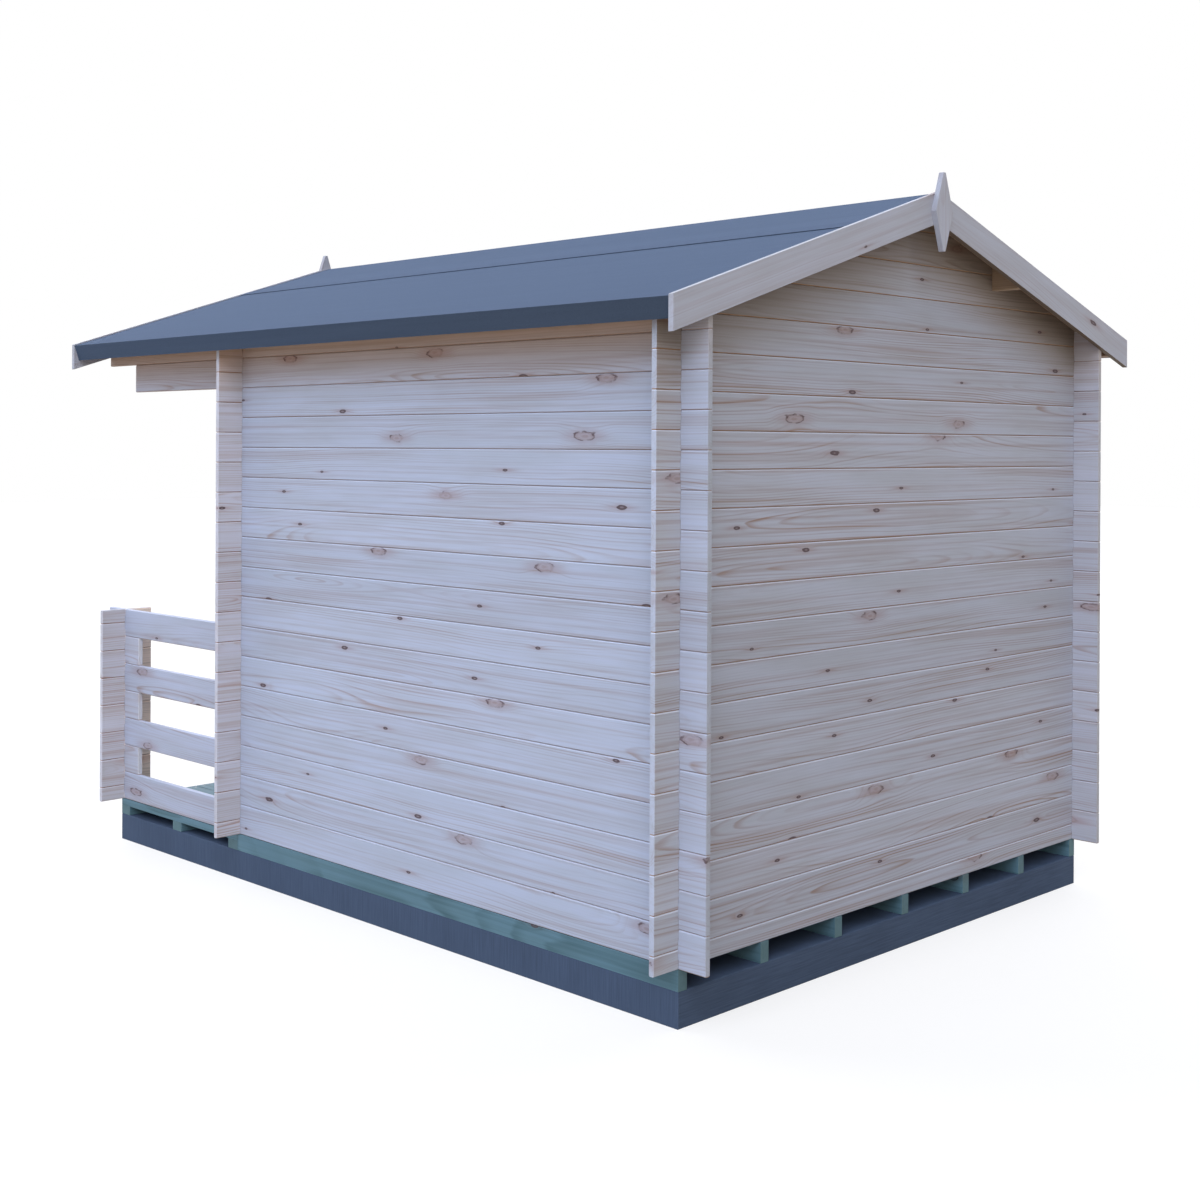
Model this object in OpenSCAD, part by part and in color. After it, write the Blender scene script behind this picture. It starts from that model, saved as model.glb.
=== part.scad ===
// Log cabin of crossed softwood logs, with an open porch, on a plinth.
// +X is the cabin's right side seen from the front, -Y the porch, +Y the rear gable, +Z up.
// The origin lies at ground level, under the middle of the whole cabin.

/* [Logs] */
// Height of one log of the walls
log_h = 115; // [100:1:140]
// Thickness of the wall logs
log_t = 19; // [16:1:45]
// Logs in each side wall, one above the other
log_rows = 17; // [16:1:20]
// Length of the crossed log ends outside the walls
log_end = 104; // [80:1:140]
// Chamfer that makes the V between two logs
log_v = 3; // [1:0.5:4]
// Gap where one piece rests on or beside another
seat = 0.3; // [0.2:0.1:0.5]

/* [Plan] */
// Width over the outer faces of the side walls
wall_w = 2276; // [1900:1:2800]
// Length of the room over the outer faces of its end walls
room_l = 2303; // [1800:1:3000]
// Depth of the porch in front of the room
porch_l = 893; // [700:1:1300]

/* [Base] */
// Height of the plinth
plinth_h = 108; // [60:1:200]
// Height of the floor joists
joist_h = 65; // [50:1:100]
// Width of the floor joists
joist_w = 38; // [30:1:60]
// Number of floor joists
joists = 7; // [5:1:9]
// Width of the crosswise porch bearers, which lie flat
bearer_w = 65; // [50:1:90]
// Thickness of the porch boards
deck_t = 28; // [20:1:35]
// Number of porch boards side by side
deck_boards = 19; // [15:1:22]
// Gap between two porch boards
deck_gap = 4; // [2:1:6]
// Thickness of the room's floor
floor_t = 19; // [16:1:28]

/* [Porch sides] */
// Logs from the deck to the top of the porch rail, an odd number
rail_rows = 7; // [5:2:9]
// Length of the rail ends in front of the porch corner
rail_end = 114; // [80:1:140]
// How much shorter the lower of the two logs under the porch eave is
bracket_step = 214; // [120:1:300]

/* [Door] */
// Width of the gap in the logs for the door
door_gap = 820; // [700:1:1000]
// Full logs beside the door, above the bottom half log
door_rows = 15; // [13:1:15]
// Thickness of the frame's jambs and head inside the gap
frame_t = 32; // [25:1:45]
// How far the frame laps over the log ends
frame_lap = 25; // [15:1:40]
// Thickness of the frame's flanges outside the logs
frame_flange = 12; // [8:1:20]
// Thickness of the door's boards and ledges
door_t = 19; // [16:1:28]
// Height of the door sill
sill_h = 30; // [20:1:45]
// Gap round the door
door_clear = 3; // [2:0.5:5]
// Width of the door's ledges
ledge_h = 95; // [70:1:120]

/* [Roof] */
// Pitch of the roof in degrees
roof_pitch = 18.2; // [14:0.1:23]
// Overhang of the eaves outside the side walls
eave = 168; // [130:1:220]
// Thickness of the roof boards
roof_t = 19; // [16:1:25]
// Thickness of the roofing felt
felt_t = 2.5; // [1.5:0.5:4]
// Depth of the felted eave edge
fascia_h = 65; // [50:1:90]
// Distance of the felt's lap from the eave edge, up the slope
felt_run = 862; // [700:1:1000]
// Overlap of two felt sheets
felt_lap = 80; // [50:1:100]
// Length over which the ridge felt eases down behind the overlap
felt_ease = 120; // [60:1:160]
// Width of the purlins
purlin_w = 38; // [30:1:60]
// Height of the purlins
purlin_h = 82; // [60:1:110]
// Distance of the side purlins' inner faces from the middle
purlin_x = 529; // [420:1:640]

/* [Gable trim] */
// Width of the bargeboards
barge_h = 100; // [80:1:130]
// Thickness of the bargeboards and finials
barge_t = 19; // [16:1:25]
// Height of the bargeboards' top edge above the felt
barge_rise = 5; // [2:1:10]
// Height of the diamond finials
finial_h = 262; // [200:1:320]
// Width of the finials at their middle
finial_w = 100; // [80:1:130]
// Width of the finials' blunt tips
finial_tip = 12; // [8:1:20]
// Height of the finials above the apex of the bargeboards
finial_rise = 61; // [40:1:100]

/* [Hidden] */

pale_wood = "#b9b3c4";
shaded_wood = "#9c8f96";
treated_wood = "#5a8088";
plinth_grey = "#44536c";
felt_blue = "#6b7d9e";
steel_grey = "#30343a";

// Lengthwise: roof edge to roof edge is centred on the origin.
total_l = log_end + room_l + porch_l + rail_end;
y_back = total_l/2 - log_end;      // rear wall, outer face
y_front = y_back - room_l;         // front wall, outer face
y_porch = y_front - porch_l;       // porch corner, outer face
y_gable0 = y_porch - rail_end;     // front end of rails, purlins and roof
y_gable1 = y_back + log_end;       // rear end of logs, purlins and roof
y_barge0 = y_gable0 - seat - barge_t;
y_barge1 = y_gable1 + seat;
x_wall = wall_w/2;

// Heights
z_joist = plinth_h + seat;
z_log = z_joist + joist_h + seat;              // bottom of the logs
z_eave = z_log + log_rows*log_h - seat;        // top of the side walls, outer edge
bearer_h = joist_h - deck_t - seat;

// Roof section: u runs down the slope, v stands on it, from the underside's apex.
ca = cos(roof_pitch);
sa = sin(roof_pitch);
slope = sa/ca;
z_apex = z_eave + seat + x_wall*slope;
v_felt = roof_t + seat;
v_top = v_felt + felt_t;
u_edge = (x_wall + eave - v_top*sa)/ca;        // outer face of the felt at the eave
u_boards = u_edge - felt_t - seat;
u_lap = u_edge - felt_run;
v_barge = v_top + barge_rise*ca - barge_h;
x_barge = x_wall + eave + 1;
z_side_purlin = z_apex - seat - purlin_x*slope - purlin_h;
z_ridge_purlin = z_apex - seat - purlin_h;
// The gable's first seam above the underside of the side purlins
z_above_purlin = z_log + (ceil((z_side_purlin - z_log)/log_h - 0.5) + 0.5)*log_h;
z_finial = z_apex + (v_barge + barge_h)/ca + finial_rise - finial_h;

// Where the side walls cross the end walls
both_cuts = [-x_wall, x_wall - log_t];

// Door
door_z = z_log + (door_rows + 0.5)*log_h - seat;   // underside of the log over the door
frame_y = log_t + 2*(seat + frame_flange);
leaf_w = door_gap - 2*frame_t - 2*door_clear;
leaf_z = z_log + sill_h + 0.5;                     // the door stands close over its sill
leaf_h = door_z - frame_t - door_clear - leaf_z;
leaf_y = y_front - seat - frame_flange;
hinge_z = [leaf_z + 0.1*leaf_h, leaf_z + 0.86*leaf_h];

// An outline in X and Z, stretched from y0 to y1
module along_y(y0, y1) translate([0, y1, 0]) rotate([90, 0, 0]) linear_extrude(y1 - y0) children();
// An outline in Y and Z, stretched from x0 to x1
module along_x(x0, x1) translate([x0, 0, 0]) rotate([90, 0, 90]) linear_extrude(x1 - x0) children();
module block(x0, x1, y0, y1, z0, z1) translate([x0, y0, z0]) cube([x1 - x0, y1 - y0, z1 - z0]);

// Outline of a log seen from its side, notched from below and from above at each crossing
function notched(a, b, z0, z1, cuts, low, high) = concat(
    [[a, z0]],
    [for (c = cuts) if (low > 0) each
        [[c - seat, z0], [c - seat, z0 + low], [c + log_t + seat, z0 + low], [c + log_t + seat, z0]]],
    [[b, z0], [b, z1]],
    [for (i = [len(cuts) - 1:-1:0]) if (high > 0) each let (c = cuts[i])
        [[c + log_t + seat, z1], [c + log_t + seat, z1 - high], [c - seat, z1 - high], [c - seat, z1]]],
    [[a, z1]]);

// Section of a log from its outer face o to its inner face i; top is the rise of a bevelled top
function section(o, i, z0, z1, top = 0) = let (v = o > i ? log_v : -log_v, t = top > 0 ? 0 : log_v)
    [[i + v, z0], [o - v, z0], [o, z0 + log_v], [o, z1 - t], if (top == 0) [o - v, z1],
     if (top == 0) [i + v, z1], [i, z1 - t + top], [i, z0 + log_v]];

// One log of the right wall, in row r from the bottom
module side_log(r, y0, y1, cuts) {
    z0 = z_log + r*log_h;
    z1 = z0 + log_h - seat;
    last = r == log_rows - 1;
    intersection() {
        along_x(x_wall - log_t, x_wall)
            polygon(notched(y0, y1, z0, z1 + (last ? log_t*slope : 0), cuts,
                            log_h/4, log_h/4 + (last ? log_t*slope : 0)));
        along_y(y0, y1) polygon(section(x_wall, x_wall - log_t, z0, z1, last ? log_t*slope : 0));
    }
}

// The first, third and further odd logs run on as porch rails, and the top two carry the porch eave.
module side_wall() color(pale_wood)
    for (r = [0:log_rows - 1]) {
        rail = r < rail_rows && r % 2 == 0;
        y0 = rail || r == log_rows - 1 ? y_gable0
           : r == log_rows - 2 ? y_gable0 + bracket_step
           : y_front - log_end;
        side_log(r, y0, y_gable1,
                 rail ? [y_porch, y_front, y_back - log_t] : [y_front, y_back - log_t]);
    }

// Short logs between the rails at the porch corner
module porch_spacers() color(pale_wood)
    for (r = [1:2:rail_rows - 2])
        side_log(r, y_gable0, y_porch + log_t + rail_end, [y_porch]);

// A log that crosses the side walls, from height a to b in logs; y is its outer face, s its outward side
module cross_log(a, b, x0, x1, cuts, y, s) {
    z0 = z_log + a*log_h;
    z1 = z_log + b*log_h - seat;
    full = b - a == 1;
    intersection() {
        along_y(min(y, y - s*log_t), max(y, y - s*log_t))
            polygon(notched(x0, x1, z0, z1, cuts, full || a > 0 ? log_h/4 : 0, full || a == 0 ? log_h/4 : 0));
        along_x(x0, x1) polygon(section(y, y - s*log_t, z0, z1));
    }
}

// The triangle under the roof, without the purlins' seats
module under_roof() {
    difference() {
        polygon([[-x_wall - log_end, z_log], [x_wall + log_end, z_log],
                 [x_wall + log_end, z_eave - log_end*slope], [0, z_apex - seat],
                 [-x_wall - log_end, z_eave - log_end*slope]]);
        translate([-purlin_w/2 - seat, z_ridge_purlin - seat]) square([purlin_w + 2*seat, 400]);
        for (s = [-1, 1]) {
            translate([s*(purlin_x + purlin_w/2) - purlin_w/2 - seat, z_side_purlin - seat])
                square([purlin_w + 2*seat, 400]);
            translate([s > 0 ? purlin_x : -x_wall, z_above_purlin - seat/2])
                square([x_wall - purlin_x, 400]);
        }
    }
}

// Gable logs from row n up to the roof
module gable(y, s, n) color(pale_wood)
    for (r = [n:floor((z_apex - z_log)/log_h - 0.5)])
        intersection() {
            cross_log(r + 0.5, r + 1.5, -x_wall - log_end, x_wall + log_end,
                      r < log_rows ? both_cuts : [], y, s);
            along_y(y - 50, y + 50) under_roof();
        }

// Logs of an end wall below row n, between x0 and x1
module end_wall(y, s, n, x0, x1, cuts) color(pale_wood) {
    cross_log(0, 0.5, x0, x1, cuts, y, s);
    for (r = [0:n - 1]) cross_log(r + 0.5, r + 1.5, x0, x1, cuts, y, s);
}

module rear_wall() end_wall(y_back, 1, log_rows - 1, -x_wall - log_end, x_wall + log_end, both_cuts);
module rear_gable() gable(y_back, 1, log_rows - 1);
module front_wall_right()
    end_wall(y_front, -1, door_rows, door_gap/2, x_wall + log_end, [x_wall - log_t]);
module front_gable() gable(y_front, -1, door_rows);

// Stack of short boards that closes the porch corner
module porch_return() color(pale_wood) {
    x0 = x_wall - log_t - log_end;
    x1 = x_wall + log_end;
    cross_log(0, 0.5, x0, x1, [x_wall - log_t], y_porch, -1);
    for (r = [0:rail_rows - 2]) cross_log(r + 0.5, r + 1.5, x0, x1, [x_wall - log_t], y_porch, -1);
    cross_log(rail_rows - 0.5, rail_rows, x0, x1, [x_wall - log_t], y_porch, -1);
}

module plinth() color(plinth_grey) block(-x_wall, x_wall, y_porch, y_back, 0, plinth_h);

module floor_joists() color(treated_wood)
    for (i = [0:joists - 1]) {
        x = -x_wall + i*(wall_w - joist_w)/(joists - 1);
        block(x, x + joist_w, y_front, y_back, z_joist, z_joist + joist_h);
    }

module porch_bearers() color(treated_wood)
    for (i = [0:2]) {
        y = y_porch + i*(porch_l - bearer_w - seat)/2;
        block(-x_wall, x_wall, y, y + bearer_w, z_joist, z_joist + bearer_h);
    }

module porch_deck() color(treated_wood)
    for (i = [0:deck_boards - 1]) {
        pitch = (wall_w + deck_gap)/deck_boards;
        x = -x_wall + i*pitch;
        block(x, x + pitch - deck_gap, y_porch, y_front - seat,
              z_log - seat - deck_t, z_log - seat);
    }

module floor_boards() color(pale_wood)
    block(-x_wall + log_t + 2, x_wall - log_t - 2, y_front + log_t + frame_flange + 2, y_back - log_t - 2,
          z_log, z_log + floor_t);

// Frame that slips over the log ends round the doorway
module door_frame() color(shaded_wood) {
    w = door_gap/2 + frame_lap;
    y0 = y_front - seat - frame_flange;
    y1 = y0 + frame_y;
    z0 = z_log + sill_h + seat;
    difference() {
        block(-w, w, y0, y1, z0, door_z + frame_lap);
        block(frame_t - door_gap/2, door_gap/2 - frame_t, y0 - 1, y1 + 1, z0 - 1, door_z - frame_t);
        difference() {
            block(-w - 1, w + 1, y_front - seat, y_front + log_t + seat, z0 - 1, door_z + frame_lap + 1);
            block(seat - door_gap/2, door_gap/2 - seat, y0, y1, z0 - 2, door_z);
        }
    }
}

module door_sill() color(shaded_wood)
    block(-door_gap/2 + 1, door_gap/2 - 1, leaf_y, leaf_y + frame_y, z_log, z_log + sill_h);

module door() color(pale_wood)
    block(-leaf_w/2, leaf_w/2, leaf_y, leaf_y + door_t, leaf_z, leaf_z + leaf_h);

module door_ledges() color(shaded_wood)
    for (z = [hinge_z[0], leaf_z + 0.5*leaf_h, hinge_z[1]])
        block(-leaf_w/2 + 30, leaf_w/2 - 30,
              leaf_y + door_t + seat, leaf_y + 2*door_t + seat, z, z + ledge_h);

// Strap hinges over the ledges, on the outer faces of the door and of the right jamb
module door_hinges() color(steel_grey)
    for (z = hinge_z) translate([leaf_w/2, leaf_y - seat - 3, z + ledge_h/2]) {
        translate([-260, 0, -16]) cube([257, 3, 32]);
        translate([-3, -3, -50]) cube([6, 6, 100]);
        translate([0, 0, -50]) cube([30, 3, 100]);
    }

// Turned knob on a round backplate
module door_knob() color(steel_grey)
    translate([-leaf_w/2 + 60, leaf_y - seat, leaf_z + 0.55*leaf_h]) rotate([90, 0, 0]) {
        cylinder(h = 3, d = 50, $fn = 48);
        cylinder(h = 34, d = 18, $fn = 32);
        translate([0, 0, 33]) cylinder(h = 8, d1 = 30, d2 = 48, $fn = 48);
        translate([0, 0, 41]) cylinder(h = 10, d1 = 48, d2 = 40, $fn = 48);
    }

// Points on the right (s = 1) or left (s = -1) slope, given in u and v
function slope_points(s, p) = [for (q = p) [s*(q[0]*ca + q[1]*sa), z_apex - q[0]*sa + q[1]*ca]];
function reversed(p) = [for (i = [len(p) - 1:-1:0]) p[i]];
module on_slope(p) polygon(slope_points(1, p));

module right_purlin() color(shaded_wood)
    along_y(y_gable0, y_gable1)
        polygon([[purlin_x, z_side_purlin], [purlin_x + purlin_w, z_side_purlin],
                 [purlin_x + purlin_w, z_side_purlin + purlin_h - purlin_w*slope],
                 [purlin_x, z_side_purlin + purlin_h]]);

module ridge_purlin() color(shaded_wood)
    along_y(y_gable0, y_gable1)
        polygon([[-purlin_w/2, z_ridge_purlin], [purlin_w/2, z_ridge_purlin],
                 [purlin_w/2, z_apex - seat - purlin_w/2*slope], [0, z_apex - seat],
                 [-purlin_w/2, z_apex - seat - purlin_w/2*slope]]);

module right_roof_boards() color(shaded_wood)
    along_y(y_gable0, y_gable1)
        on_slope([[seat/2, 0], [u_boards, 0], [u_boards, roof_t], [seat/2 - roof_t*slope, roof_t]]);

module right_eave_batten() color(shaded_wood)
    along_y(y_gable0, y_gable1)
        on_slope([[u_boards - roof_t, v_top - fascia_h], [u_boards, v_top - fascia_h],
                  [u_boards, -seat], [u_boards - roof_t, -seat]]);

// Felt sheet along the eave, folded down over the edge
module right_felt() color(felt_blue)
    along_y(y_gable0, y_gable1)
        on_slope([[u_lap - felt_lap, v_felt], [u_edge - felt_t, v_felt], [u_edge - felt_t, v_top - fascia_h],
                  [u_edge, v_top - fascia_h], [u_edge, v_top], [u_lap - felt_lap, v_top]]);

// Felt sheet over the ridge, which laps over the two eave sheets and eases down behind their edges
module ridge_felt() color(felt_blue)
    along_y(y_gable0, y_gable1) {
        u_high = u_lap - felt_lap - 2;
        u_low = u_high - felt_ease;
        under = [[u_lap, v_top + seat], [u_high, v_top + seat], [u_low, v_felt], [-v_felt*slope, v_felt]];
        over = [[-v_top*slope, v_top], [u_low, v_top],
                [u_high, v_top + seat + felt_t], [u_lap, v_top + seat + felt_t]];
        polygon(concat(slope_points(1, under), slope_points(-1, reversed([for (i = [0:2]) under[i]])),
                       slope_points(-1, reversed([for (i = [1:3]) over[i]])), slope_points(1, over)));
    }

// Right bargeboard with plumb cuts at the ridge and at the eave
module bargeboard(y) color(pale_wood)
    along_y(y, y + barge_t) {
        zt = z_apex + (v_barge + barge_h)/ca;
        zb = z_apex + v_barge/ca;
        polygon([[seat/2, zb], [x_barge, zb - x_barge*slope],
                 [x_barge, zt - x_barge*slope], [seat/2, zt]]);
    }

module finial(y) color(pale_wood)
    along_y(y, y + barge_t) translate([0, z_finial])
        polygon([[-finial_tip/2, 0], [finial_tip/2, 0], [finial_w/2, finial_h/2],
                 [finial_tip/2, finial_h], [-finial_tip/2, finial_h], [-finial_w/2, finial_h/2]]);

plinth();
floor_joists();
porch_bearers();
porch_deck();
floor_boards();  // floor
side_wall();  // right_wall
mirror([1, 0, 0]) side_wall();  // left_wall
rear_wall();
rear_gable();
front_wall_right();
mirror([1, 0, 0]) front_wall_right();  // front_wall_left
front_gable();
porch_spacers();  // right_porch_spacers
mirror([1, 0, 0]) porch_spacers();  // left_porch_spacers
porch_return();  // right_porch_return
mirror([1, 0, 0]) porch_return();  // left_porch_return
door_frame();
door_sill();
door();
door_ledges();
door_hinges();
door_knob();
ridge_purlin();
right_purlin();
mirror([1, 0, 0]) right_purlin();  // left_purlin
right_roof_boards();
mirror([1, 0, 0]) right_roof_boards();  // left_roof_boards
right_eave_batten();
mirror([1, 0, 0]) right_eave_batten();  // left_eave_batten
right_felt();
mirror([1, 0, 0]) right_felt();  // left_felt
ridge_felt();
bargeboard(y_barge1);  // rear_bargeboard_right
mirror([1, 0, 0]) bargeboard(y_barge1);  // rear_bargeboard_left
bargeboard(y_barge0);  // front_bargeboard_right
mirror([1, 0, 0]) bargeboard(y_barge0);  // front_bargeboard_left
finial(y_barge1 + barge_t + seat);  // rear_finial
finial(y_barge0 - barge_t - seat);  // front_finial
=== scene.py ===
"""Log cabin: finishes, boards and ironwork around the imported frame, with a plain studio round it."""

import math
import random

import bmesh
import bpy
from mathutils import Matrix, Vector


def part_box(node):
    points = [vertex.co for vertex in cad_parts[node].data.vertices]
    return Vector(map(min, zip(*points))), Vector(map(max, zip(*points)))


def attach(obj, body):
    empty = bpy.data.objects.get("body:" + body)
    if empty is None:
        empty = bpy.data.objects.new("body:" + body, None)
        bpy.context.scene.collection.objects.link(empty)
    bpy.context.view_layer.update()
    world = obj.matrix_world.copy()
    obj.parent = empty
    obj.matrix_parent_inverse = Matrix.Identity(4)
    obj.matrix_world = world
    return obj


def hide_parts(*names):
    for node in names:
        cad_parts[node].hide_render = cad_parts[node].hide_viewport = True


bl_info = {
    "name": "Log Cabin",
    "version": (1, 0, 0),
    "blender": (4, 5, 0),
    "location": "View3D > Sidebar > Log Cabin",
    "description": "Finishes a log cabin with an open porch around its frame",
    "category": "Add Mesh",
}

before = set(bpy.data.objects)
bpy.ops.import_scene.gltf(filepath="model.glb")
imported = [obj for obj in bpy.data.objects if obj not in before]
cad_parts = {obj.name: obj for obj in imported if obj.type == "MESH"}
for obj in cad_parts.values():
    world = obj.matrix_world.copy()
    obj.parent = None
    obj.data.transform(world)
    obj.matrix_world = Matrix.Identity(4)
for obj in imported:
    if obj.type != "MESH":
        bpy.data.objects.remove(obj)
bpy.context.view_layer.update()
MM = 0.001
X, Y, Z = Vector((1, 0, 0)), Vector((0, 1, 0)), Vector((0, 0, 1))
SIDES = (("right", 1), ("left", -1))
BLACK, WHITE = (0, 0, 0, 1), (1, 1, 1, 1)
SAME = (1, 1, 1)

# What the frame says about the cabin
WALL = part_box("right_wall")
LOG_BOTTOM = WALL[0].z
LOG_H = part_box("right_porch_spacers")[0].z - LOG_BOTTOM
X_FACE = WALL[1].x
Y_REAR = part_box("rear_wall")[1].y
Y_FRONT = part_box("front_wall_right")[0].y
Y_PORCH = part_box("right_porch_return")[0].y

# How far the seeds of two neighbouring boards lie apart
SEED_STEP = 1.37


def roof_line():
    """Slope of the roof and height of its underside at the apex, from the corners of the roof boards."""
    corners = [v.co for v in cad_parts["right_roof_boards"].data.vertices]
    ridge = min(corners, key=lambda c: (round(c.x, 3), c.z))
    low = min(corners, key=lambda c: c.z)
    slope = (ridge.z - low.z) / (low.x - ridge.x)
    return slope, ridge.z + ridge.x * slope


SLOPE, APEX = roof_line()


def roof_axes(side):
    """The ways down the roof and square out of it, on its right (1) or left (-1) side."""
    pitch = math.atan(SLOPE)
    return (Vector((side * math.cos(pitch), 0, -math.sin(pitch))),
            Vector((side * math.sin(pitch), 0, math.cos(pitch))))


def linear(colour):
    """An sRGB hex colour as linear red, green and blue."""
    parts = [int(colour[i:i + 2], 16) / 255 for i in (1, 3, 5)]
    return tuple(c / 12.92 if c <= 0.04045 else ((c + 0.055) / 1.055) ** 2.4 for c in parts)


def colour_property(name, description, colour):
    return bpy.props.FloatVectorProperty(
        name=name, description=description, subtype="COLOR", size=3, min=0, max=1, default=linear(colour))


def size_property(name, description, millimetres):
    return bpy.props.FloatProperty(
        name=name, description=description, unit="LENGTH", min=0, default=millimetres * MM)


class CabinSizes(bpy.types.PropertyGroup):
    """Sizes of the boards and fixings that the frame leaves open."""
    roof_board: size_property("Roof board", "Cover width of a tongued roof board", 88)
    floor_board: size_property("Floor board", "Cover width of a tongued floor board", 88)
    door_board: size_property("Door board", "Widest cover of a door board", 94)
    v_joint: size_property("V joint", "Chamfer on each side of a V joint between boards", 3)
    board_gap: size_property("Board gap", "Gap that shows between two tongued boards", 0.6)
    arris: size_property("Arris", "Softening of planed edges", 0.9)
    deck_screw: size_property("Deck screw", "Head diameter of a countersunk deck screw", 9)
    door_screw: size_property("Door screw", "Head diameter of a hinge or ledge screw", 8)
    ring_width: size_property("Growth rings", "Spacing of the rings, drawn coarser than the real 4 mm", 8)
    knot_spacing: size_property("Knots", "Usual distance from knot to knot along a log", 900)


class CabinColours(bpy.types.PropertyGroup):
    """Colours of the finishes."""
    early: colour_property("Early wood", "Pale spring wood between the rings", "#a5adc0")
    late: colour_property("Late wood", "Darker line of each ring", "#8a7770")
    knot: colour_property("Knot", "Heart of a dead knot", "#43343a")
    # Painted shade: wood close under the roof is painted browner and darker, as shade and warm bounced light
    # make it.
    eaves: colour_property("Wood under the eaves", "Side walls close under the roof, still tan", "#b99a80")
    gables: colour_property("Wood under the gables", "End walls close under the roof, still tan", "#7d6e60")
    # Painted shade on the down-facing faces of the bargeboards.
    underside_shade: colour_property("Undersides", "Lower edges of the bargeboards", "#5f5040")
    # Painted shade: roof boards, eave battens and purlins, which lie in the shade under the roof, are painted
    # brown.
    soffit_shade: colour_property("Soffit", "Underside of the roof boards, and the eave battens", "#a08673")
    purlins: colour_property("Purlins", "Purlins under the roof boards", "#9f8872")
    # Painted light on the inner faces of the porch corners.
    porch: colour_property("Wood inside the porch", "Inner faces of the porch corners", "#f2dfcf")
    # A dark joint with painted shade in it, on the lower chamfer of each log.
    joint: colour_property("Joint", "Lower chamfer of each log, where the finish is thin", "#8a6b52")
    treated_early: colour_property("Treated early wood", "Pressure treated joists and boards", "#547483")
    treated_late: colour_property("Treated late wood", "Rings of the treated timber", "#3b5963")
    felt: colour_property("Felt", "Slate blue mineral of the roofing felt", "#37404d")
    plinth: colour_property("Plinth", "Dark pigmented concrete", "#404e65")
    steel: colour_property("Steel", "Black powder coat of the hinges and the knob", "#1d1f22")
    zinc: colour_property("Screws", "Dulled zinc of the screw heads", "#8d9296")


def add(tree, kind, inputs=(), **settings):
    """Adds a shader node with its settings. A kind such as Math.ADD names the node's operation too.

    Its inputs are given by name or number, or in their order. Each is a value, a socket, or a node, whose
    first output in use is taken.
    """
    kind, _, operation = kind.partition(".")
    made = tree.nodes.new("ShaderNode" + kind)
    if operation:
        made.operation = operation
    for name, value in settings.items():
        setattr(made, name, value)
    for name, value in inputs.items() if isinstance(inputs, dict) else enumerate(inputs):
        if isinstance(value, bpy.types.Node):
            value = next(output for output in value.outputs if output.enabled)
        if isinstance(value, bpy.types.NodeSocket):
            tree.links.new(value, made.inputs[name])
        else:
            made.inputs[name].default_value = value
    return made


def rgba(colour):
    return (*colour, 1)


def new_material(name):
    material = bpy.data.materials.new(name)
    material.use_nodes = True
    material.node_tree.nodes.clear()
    return material, material.node_tree


def finished(material, look, height=None, strength=0.0, depth=0.0):
    """Ends a material in its shader, with a bump of that strength and depth where it has a height."""
    tree = material.node_tree
    if height:
        bump = add(tree, "Bump", {"Strength": strength, "Distance": depth, "Height": height})
        look = {**look, "Normal": bump}
    add(tree, "OutputMaterial", {"Surface": add(tree, "BsdfPrincipled", look)})
    return material


def streaky(tree, place, per_metre, detail, span=()):
    """Noise with so many features to a metre in each direction.

    span takes it from one range to another: from low, from high, to low, to high.
    """
    noise = add(tree, "VectorMath.MULTIPLY", (place, per_metre))
    noise = add(tree, "TexNoise", {"Vector": noise, "Scale": 1.0, "Detail": detail})
    return add(tree, "MapRange", (noise, *span)) if span else noise


def bell(tree, x, y, squeeze):
    """1 in the middle, dying away smoothly as the squeezed x and y grow past 1."""
    reach = add(tree, "CombineXYZ", (x, y))
    reach = add(tree, "VectorMath.MULTIPLY", (reach, squeeze))
    reach = add(tree, "VectorMath.DOT_PRODUCT", (reach, reach))
    reach = add(tree, "Math.MULTIPLY", (reach, -1.0))
    return add(tree, "Math.EXPONENT", (reach,))


def mottled(tree, colour, *patterns):
    """The colour made darker and lighter by patterns, each with its usual range and the tones at its ends."""
    for pattern, low, high, dark, light in patterns:
        tone = add(tree, "MapRange", (pattern, low, high, dark, light))
        colour = add(tree, "VectorMath.SCALE", {0: colour, 3: tone})
    return colour


def board_start(tree, given):
    """Starts each board at its own place, up to 23 m along, in its own tree."""
    luck = add(tree, "TexWhiteNoise", {"W": given["Seed"]}, noise_dimensions="1D")
    luck = add(tree, "SeparateColor", (luck.outputs["Color"],)).outputs
    start = add(tree, "Math.MULTIPLY_ADD", (luck[2], 23.0, given["Along"]))
    return luck, start, add(tree, "CombineXYZ", (start, given["Across"], given["Depth"]))


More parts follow.
